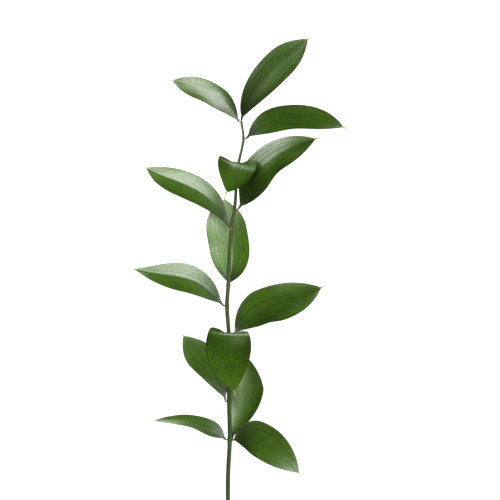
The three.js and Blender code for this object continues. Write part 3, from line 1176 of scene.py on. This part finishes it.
@dataclass
class Blade:
    """One leaf: stalk, blade with parallel veins, and spine.

    The rows run from the root inside the stem to the tip of the spine, the columns from the
    left to the right margin. The spine's yellow starts before it and is full soon after. Veins
    and ripples come in where half the blade is broad enough, and veins end at the margin. A
    wave's two numbers count it along and across the leaf.
    """

    shape: LeafShape
    stem: Stem
    columns: int = 60
    rows: int = 112
    root_rows: int = 4
    stalk_rows: int = 6
    spine_rows: int = 8
    end_crowding: float = 0.5
    margin_crowding: float = 0.4
    foot_clearance: float = 0.9
    root_depth: float = 0.5
    stalk_half_width: float = 0.55
    stalk_flare: float = 0.5
    flare_reach: float = 1.0
    flare_share: float = 0.5
    stalk_fade: float = 6.0
    stalk_roundness: float = 0.93
    spine_length: float = 3.5
    spine_tip_half_width: float = 0.2
    spine_fade: tuple[float, float] = (-2.5, 0.8)
    base_start: float = 0.02
    blade_thickness: float = 0.42
    margin_thickness: float = 0.16
    stalk_thickness: float = 0.95
    thinning_power: int = 4
    thinning_reach: float = 3.0
    midrib_thickness: float = 0.2
    midrib_reach: float = 0.55
    upper_vein_depth: float = 0.02
    upper_midrib_ratio: float = 1.5
    under_vein_height: float = 0.035
    under_midrib_ratio: float = 2.0
    carved_midrib_reach: float = 0.45
    veined_breadth: tuple[float, float] = (1.5, 5)
    veined_margin: tuple[float, float] = (0.88, 0.98)
    ripple_breadth: tuple[float, float] = (1, 8)
    ripple_height: float = 0.14
    slow_wave: tuple[float, float] = (2.3, 2.1)
    quick_wave: tuple[float, float] = (4.1, 2.6)
    quick_share: float = 0.5
    leaf_phase: float = 1.7
    quick_phase: float = 2.3
    curve_samples: int = 400
    midrib: np.ndarray = field(init=False)
    reached: np.ndarray = field(init=False)
    length: float = field(init=False)

    def __post_init__(self) -> None:
        """Samples the midrib once."""
        share = np.linspace(0, 1, self.curve_samples)[:, None]
        first, second, tip = (np.array(point, float) for point in self.shape.route)
        back = 1 - share
        curve = self._start * back**3 + first * 3 * share * back**2
        self.midrib = curve + second * 3 * share**2 * back + tip * share**3
        steps = np.linalg.norm(np.diff(self.midrib, axis=0), axis=1)
        self.reached = np.concatenate([[0], np.cumsum(steps)])
        self.length = self.reached[-1]

    @property
    def _foot(self) -> np.ndarray:
        """Direction in which the stalk leaves the stem."""
        return unit(np.array(self.shape.foot.value, float))

    @property
    def _start(self) -> np.ndarray:
        """Where the midrib's curve begins.

        Returns:
            A point just off the stem.
        """
        joint = bearing_joint(self.shape)
        reach = joint.radius * (1 + self.stem.swelling) + self.foot_clearance
        return np.array(joint.at, float) + self._foot * reach

    @property
    def _blade_end(self) -> float:
        """Distance along the midrib at which the blade ends and the spine begins."""
        return self.length - self.spine_length

    def build(self, finishes: Finishes) -> bpy.types.Object:
        """Models the leaf.

        Args:
            finishes: The plant's materials.

        Returns:
            The leaf as one closed mesh.
        """
        distance = self._distances()
        column = self._columns()
        piece = fresh_grid(self.shape.name + "_blade", self.columns, self.rows)
        write_points(piece, self._surface(distance, column))
        self._paint(piece, distance, column)
        weigh(piece, "flesh", self._thickness(distance, column))
        piece.data.materials.append(finishes.dull if self.shape.dull else finishes.upper)
        piece.data.materials.append(finishes.under)
        piece.data.materials.append(finishes.rim)
        apply_modifier(
            piece, "SOLIDIFY", thickness=MM, offset=0.0, vertex_group="flesh", use_rim=True,
            thickness_vertex_group=0.0, material_offset=1, material_offset_rim=2,
        )
        self._raise_veins(piece)
        shade_smooth(piece)
        return piece

    def _distances(self) -> np.ndarray:
        """Places the leaf's rows, which crowd towards both ends of the blade.

        Returns:
            Their distances along the midrib, below zero inside the stem.
        """
        stalk_end = self.shape.stalk
        root_length = self.foot_clearance + self.root_depth
        root = -root_length * np.linspace(1, 0, self.root_rows, endpoint=False)
        stalk = np.linspace(0, stalk_end, self.stalk_rows, endpoint=False)
        count = self.rows + 1 - self.root_rows - self.stalk_rows - self.spine_rows
        turn = np.linspace(0, math.pi, count)
        even, crowded = turn / math.pi, 0.5 * (1 - np.cos(turn))
        share = (1 - self.end_crowding) * even + self.end_crowding * crowded
        blade = stalk_end + (self._blade_end - stalk_end) * share
        spine = self._blade_end + self.spine_length * np.linspace(0, 1, self.spine_rows + 1)[1:]
        return np.concatenate([root, stalk, blade, spine])

    def _columns(self) -> np.ndarray:
        """Places the leaf's columns, which crowd a little towards the margins.

        Returns:
            Their places from the left margin, -1, to the right margin, 1.
        """
        even = np.linspace(-1, 1, self.columns + 1)
        crowded = np.sin(even * math.pi / 2)
        return (1 - self.margin_crowding) * even + self.margin_crowding * crowded

    def _outline(self, distance: np.ndarray) -> np.ndarray:
        """Draws the flat leaf's outline.

        Args:
            distance: Distances along the midrib, in millimetres.

        Returns:
            Half the leaf's breadth at each.
        """
        shape, blade_end = self.shape, self._blade_end
        share = np.clip((distance - shape.stalk) / (blade_end - shape.stalk), 0, 1)
        towards_base = 1 - np.clip(1 - share / shape.widest, 0, 1) ** shape.fullness[0]
        towards_tip = 1 - np.clip((share - shape.widest) / (1 - shape.widest), 0, 1) ** shape.fullness[1]
        blade = np.where(share < shape.widest, towards_base, towards_tip) * shape.width / 2
        taper = np.clip((distance - blade_end) / self.spine_length, 0, 1)
        spine = self.stalk_half_width + (self.spine_tip_half_width - self.stalk_half_width) * taper
        reach = self.flare_share * shape.stalk + self.flare_reach
        flare = bump(distance, shape.stalk + self.flare_reach, reach)
        foot = self.stalk_half_width + self.stalk_flare * flare
        return np.where(distance > blade_end, spine, np.maximum(foot, blade))

    def _paint(self, piece: bpy.types.Object, distance: np.ndarray, column: np.ndarray) -> None:
        """Stores what the finish reads: places on the leaf, its tones and its masks.

        Args:
            piece: The flat grid of the leaf.
            distance: Places of the rows along the midrib, in millimetres.
            column: Places of the columns across the blade, from -1 to 1.
        """
        shape = self.shape
        share = np.clip(distance / self.length, 0, 1)
        spine = ramp(distance, *(self._blade_end + reach for reach in self.spine_fade))
        masks = {
            "across": column,
            "share": share[:, None],
            "tone": shape.tone,
            # painted light and shade across the leaf
            "lean": shape.lean * column,
            "spine": spine[:, None],
            # darker base: partly its own tone, partly painted shade
            "base": 1 - ramp(share, self.base_start, shape.dark)[:, None],
            "stalk": 1 - ramp(distance, shape.stalk, shape.stalk + self.stalk_fade)[:, None],
            # pale patches: mostly painted sheen, and leaf 7's pale midrib line
            "pale": self._sheen_and_midrib(share, column),
        }
        grid = np.ones((len(distance), len(column)))
        for name, values in masks.items():
            write_attribute(piece, name, grid * values)

    def _sheen_and_midrib(self, share: np.ndarray, column: np.ndarray) -> np.ndarray:
        """Lays out the pale patches: mostly painted sheen, and on leaf 7 also its pale midrib line.

        Args:
            share: Shares of the length at the rows.
            column: Places of the columns across the blade.

        Returns:
            How much of the pale patches lies on each row and column.
        """
        sheen_and_midrib_tint = np.zeros((len(share), len(column)))
        for patch in self.shape.sheen_and_midrib_patches:
            lengthwise = patch.strength * bump(share[:, None], patch.share, patch.reach)
            sheen_and_midrib_tint = sheen_and_midrib_tint + lengthwise * bump(column[None, :], patch.place, patch.breadth)
        return sheen_and_midrib_tint

    def _thickness(self, distance: np.ndarray, column: np.ndarray) -> np.ndarray:
        """Finds how thick the leaf is.

        Args:
            distance: Distances of the rows along the midrib, in millimetres.
            column: Places of the columns across the blade.

        Returns:
            Its thickness for each row and column, in millimetres.
        """
        half = self._outline(distance)[:, None]
        aside = np.abs(column)[None, :]
        thinning = 1 - aside**self.thinning_power
        blade = self.margin_thickness + (self.blade_thickness - self.margin_thickness) * thinning
        blade = blade + self.midrib_thickness * bump(aside * half, 0, self.midrib_reach)
        breadth = ramp(half, self.stalk_half_width, self.stalk_half_width + self.thinning_reach)
        round_thickness = self.stalk_thickness * np.minimum(1, half / self.stalk_half_width)
        stalk = round_thickness * np.sqrt(1 - self.stalk_roundness * aside**2)
        return stalk + (blade - stalk) * breadth

    def _turn(self, side: int, share: np.ndarray) -> np.ndarray:
        """Finds how far one side of the blade turns.

        Args:
            side: -1 for the left side, 1 for the right one.
            share: Shares of the length at the rows.

        Returns:
            The angle at the margin for each row, in radians.
        """
        turn = along(self.shape.left if side < 0 else self.shape.right, share)
        for dip in self.shape.dips:
            if dip.side == side:
                turn = turn + dip.turn * bump(share, dip.share, dip.reach)
        return np.radians(turn)

    def _surface(self, distance: np.ndarray, column: np.ndarray) -> np.ndarray:
        """Middle surface of the leaf.

        Args:
            distance: Places of the rows along the midrib, in millimetres.
            column: Places of the columns across the blade, from -1 to 1.

        Returns:
            Points by row and column.
        """
        inside = np.clip(distance, 0, None)
        share = inside / self.length
        centre = np.stack([np.interp(inside, self.reached, self.midrib[:, k]) for k in range(3)], -1)
        slope = unit(np.gradient(self.midrib, axis=0))
        tangent = unit(np.stack([np.interp(inside, self.reached, slope[:, k]) for k in range(3)], -1))
        centre = centre + self._foot * np.minimum(distance, 0)[:, None]

        face = np.array(self.shape.face, float)
        level = unit(face - (tangent @ face)[:, None] * tangent)
        roll = np.radians(along(self.shape.roll, share))[:, None]
        up = level * np.cos(roll) + np.cross(tangent, level) * np.sin(roll)
        across = np.cross(tangent, up)

        half = self._outline(distance)[:, None]
        side = np.sign(column)[None, :]
        aside = np.abs(column)[None, :]
        turn = np.where(side < 0, self._turn(-1, share)[:, None], self._turn(1, share)[:, None])
        turn = np.where(np.abs(turn) < LEAST_TURN, LEAST_TURN, turn)
        bend = turn * aside
        out, lift = half * np.sin(bend) / turn, half * (1 - np.cos(bend)) / turn
        fold = math.radians(self.shape.fold)
        x = side * (out * math.cos(fold) - lift * math.sin(fold))
        z = lift * math.cos(fold) + out * math.sin(fold)
        z = z + self._ripple(share, column) * ramp(half, *self.ripple_breadth)
        return centre[:, None] + x[..., None] * across[:, None] + z[..., None] * up[:, None]

    def _ripple(self, share: np.ndarray, column: np.ndarray) -> np.ndarray:
        """Makes the blade slightly uneven, in a way that differs from leaf to leaf.

        Args:
            share: Shares of the length at the rows.
            column: Places of the columns across the blade.

        Returns:
            Heights for each row and column, in millimetres.
        """
        phase = self.shape.number * self.leaf_phase
        u, v = share[:, None] * math.tau, column[None, :]
        slow = np.sin(self.slow_wave[0] * u + phase + self.slow_wave[1] * v) * np.abs(v)
        quick = self.quick_share * np.sin(self.quick_wave[0] * u + self.quick_phase * phase)
        quick = quick * v**2 * np.sin(self.quick_wave[1] * v + phase)
        return self.ripple_height * (slow + quick)

    def _raise_veins(self, piece: bpy.types.Object) -> None:
        """Sinks the veins a little into the upper side and raises them on the underside.

        Args:
            piece: The solid leaf, whose upper vertices come before its lower ones.
        """
        column, share = read_attribute(piece, "across"), read_attribute(piece, "share")
        upper = np.arange(len(column)) < len(column) // 2
        half = self._outline(share * self.length)
        open_blade = ramp(half, *self.veined_breadth) * (1 - ramp(np.abs(column), *self.veined_margin))
        veins = np.abs(np.cos(math.pi * VEINS_A_SIDE * column)) ** VEIN_SHARPNESS
        midrib = bump(np.abs(column) * half, 0, self.carved_midrib_reach)
        sunk = -self.upper_vein_depth * veins - self.upper_midrib_ratio * self.upper_vein_depth * midrib
        raised = self.under_vein_height * (veins + self.under_midrib_ratio * midrib)
        height = np.where(upper, sunk, raised) * open_blade
        normals = read_vectors(piece.data.vertex_normals, "vector")
        write_points(piece, read_points(piece) + normals * height[:, None])


# ------------------------------------------------------------------ the dry scales


@dataclass
class DryScales:
    """The small papery scales, one under each side leaf.

    A scale leans back from its leaf, curls across by an angle in degrees, and droops and
    narrows towards its tip. The waves of its ripple are counted along and across it.
    """

    stem: Stem
    columns: int = 10
    rows: int = 16
    half_width: float = 0.8
    tip_half_width: float = 0.03
    taper: float = 0.7
    bulge: float = 0.25
    thickness: float = 0.14
    drop: float = 1.9
    sunk: float = 0.4
    lean: float = 0.25
    curl: float = 70.0
    droop: float = 0.5
    ripple: float = 0.05
    ripple_waves: tuple[float, float] = (9, 4)

    def build(self, finishes: Finishes) -> bpy.types.Object:
        """Models all scales and joins them in one piece.

        Args:
            finishes: The plant's materials.

        Returns:
            The joined scales.
        """
        made = [self._one(shape) for shape in LEAVES if shape.foot is not Way.ONWARD]
        select_only(*made)
        bpy.ops.object.join()
        joined = bpy.context.active_object
        joined.name = joined.data.name = "dry_scales"
        joined.data.materials.clear()
        joined.data.materials.append(finishes.paper)
        shade_smooth(joined)
        return joined

    def _one(self, shape: LeafShape) -> bpy.types.Object:
        """Models the scale under one leaf.

        Args:
            shape: The leaf.

        Returns:
            A thin pointed scale, hollow towards the leaf's stalk.
        """
        height = np.array(bearing_joint(shape).at[1] - self.drop)
        foot = np.array(shape.foot.value, float)
        outward = unit(unit(foot) + np.array([0, -self.lean, 0]))
        beside = unit(np.cross(outward, (0, 1, 0)))
        inward = np.cross(beside, outward)
        root = self.stem.centre(height) + outward * (self.stem.radius(height) - self.sunk)
        share = np.linspace(0, 1, self.rows + 1)[:, None]
        column = np.linspace(-1, 1, self.columns + 1)[None, :]
        half = self.half_width * (1 - share) ** self.taper * (1 + self.bulge * share) + self.tip_half_width
        curl = math.radians(self.curl)
        turn = column * curl
        lengthwise, crosswise = self.ripple_waves
        ripple = self.ripple * np.sin(lengthwise * share + crosswise * column + shape.number)
        length = (shape.scale + self.sunk) * share
        x = half * np.sin(turn) / math.sin(curl)
        z = half * (1 - np.cos(turn)) - self.droop * share**2 + ripple
        points = root + length[..., None] * outward + x[..., None] * beside + z[..., None] * inward
        piece = fresh_grid(f"scale_{shape.number:02d}", self.columns, self.rows)
        write_points(piece, points)
        write_attribute(piece, "share", share * np.ones_like(column))
        apply_modifier(piece, "SOLIDIFY", thickness=self.thickness * MM, offset=0.0)
        return piece


# ------------------------------------------------------------------ the studio


@dataclass
class Studio:
    """Pale floor, soft light and the camera straight above, in metres and watts."""

    floor_size: float = 6.0
    floor_grey: Colour = (0.25, 0.25, 0.25, 1)
    floor_glow: float = 0.96
    lens: float = 100.0
    camera_at: Triple = tuple((CAMERA_PLACE + LAYOUT_ORIGIN) * MM)
    key_from: Triple = (-0.33, 0.79, 0.52)
    key_distance: float = 1.2
    key_size: float = 1.45
    key_power: float = 58.0
    fill_from: Triple = (-0.5, -0.2, 1.0)
    fill_distance: float = 1.6
    fill_size: float = 1.0
    fill_power: float = 14.0
    surroundings: float = 0.38

    def build(self) -> None:
        """Sets up the floor, the lights, the surroundings and the camera."""
        self._floor()
        self._light("key", self.key_from, self.key_distance, self.key_size, self.key_power)
        fill = self._light("fill", self.fill_from, self.fill_distance, self.fill_size, self.fill_power)
        fill.visible_glossy = False
        self._world()
        self._camera()

    def _floor(self) -> None:
        """Lays a plain pale floor under the stem."""
        bpy.ops.object.select_all(action="DESELECT")
        bpy.ops.mesh.primitive_plane_add(size=self.floor_size)
        floor = bpy.context.active_object
        floor.name = "floor"
        material, surface = new_material("pale_floor")
        surface.inputs["Base Color"].default_value = self.floor_grey
        surface.inputs["Roughness"].default_value = 1.0
        surface.inputs["Specular IOR Level"].default_value = 0.0
        surface.inputs["Emission Color"].default_value = (1, 1, 1, 1)
        surface.inputs["Emission Strength"].default_value = self.floor_glow
        floor.data.materials.append(material)
        floor.visible_glossy = False

    def _light(
        self, name: str, way: Triple, distance: float, size: float, power: float
    ) -> bpy.types.Object:
        """Hangs a square soft light that looks at the middle of the view.

        Args:
            name: The light's name.
            way: Direction from the plant to the light.
            distance: How far away it hangs, in metres.
            size: Length of its side, in metres.
            power: Its power, in watts.

        Returns:
            The light.
        """
        target = Vector((self.camera_at[0], self.camera_at[1], 0))
        place = target + Vector(way).normalized() * distance
        bpy.ops.object.light_add(type="AREA", location=place)
        lamp = bpy.context.active_object
        lamp.name = name
        lamp.rotation_euler = (target - place).to_track_quat("-Z", "Y").to_euler()
        lamp.data.size = size
        lamp.data.energy = power
        return lamp

    def _world(self) -> None:
        """Gives the surroundings an even, weak, neutral light."""
        world = bpy.data.worlds.new("studio")
        world.use_nodes = True
        background = world.node_tree.nodes["Background"]
        background.inputs["Color"].default_value = (1, 1, 1, 1)
        background.inputs["Strength"].default_value = self.surroundings
        world.cycles_visibility.glossy = False
        bpy.context.scene.world = world
        bpy.context.scene.view_settings.view_transform = "Standard"

    def _camera(self) -> None:
        """Hangs the camera over the stem, looking straight down."""
        bpy.ops.object.camera_add(location=self.camera_at, rotation=(0, 0, 0))
        camera = bpy.context.active_object
        camera.name = "camera"
        camera.data.lens = self.lens
        bpy.context.scene.camera = camera


# ------------------------------------------------------------------ assembly


def hand_over(piece: bpy.types.Object, slot: str, *nodes: str) -> None:
    """Lets a piece ride on the part and stand for its solids.

    Args:
        piece: The finished piece.
        slot: The record's material slot that it belongs to; not used.
        *nodes: The solids that it replaces.
    """
    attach(piece, "root")
    if nodes:
        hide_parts(*nodes)
    LOG.info("%s: %d faces", piece.name, len(piece.data.polygons))


def main() -> None:
    """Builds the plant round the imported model, and the studio round the plant."""
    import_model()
    finishes = Finishes()
    stem = Stem()
    hand_over(stem.build(finishes), "stem", "stem")
    hand_over(DryScales(stem).build(finishes), "stem")
    for shape in LEAVES:
        hand_over(Blade(shape, stem).build(finishes), "leaf", shape.name)
    Studio().build()


if __name__ == "__main__":
    logging.basicConfig(level=logging.INFO)
    main()
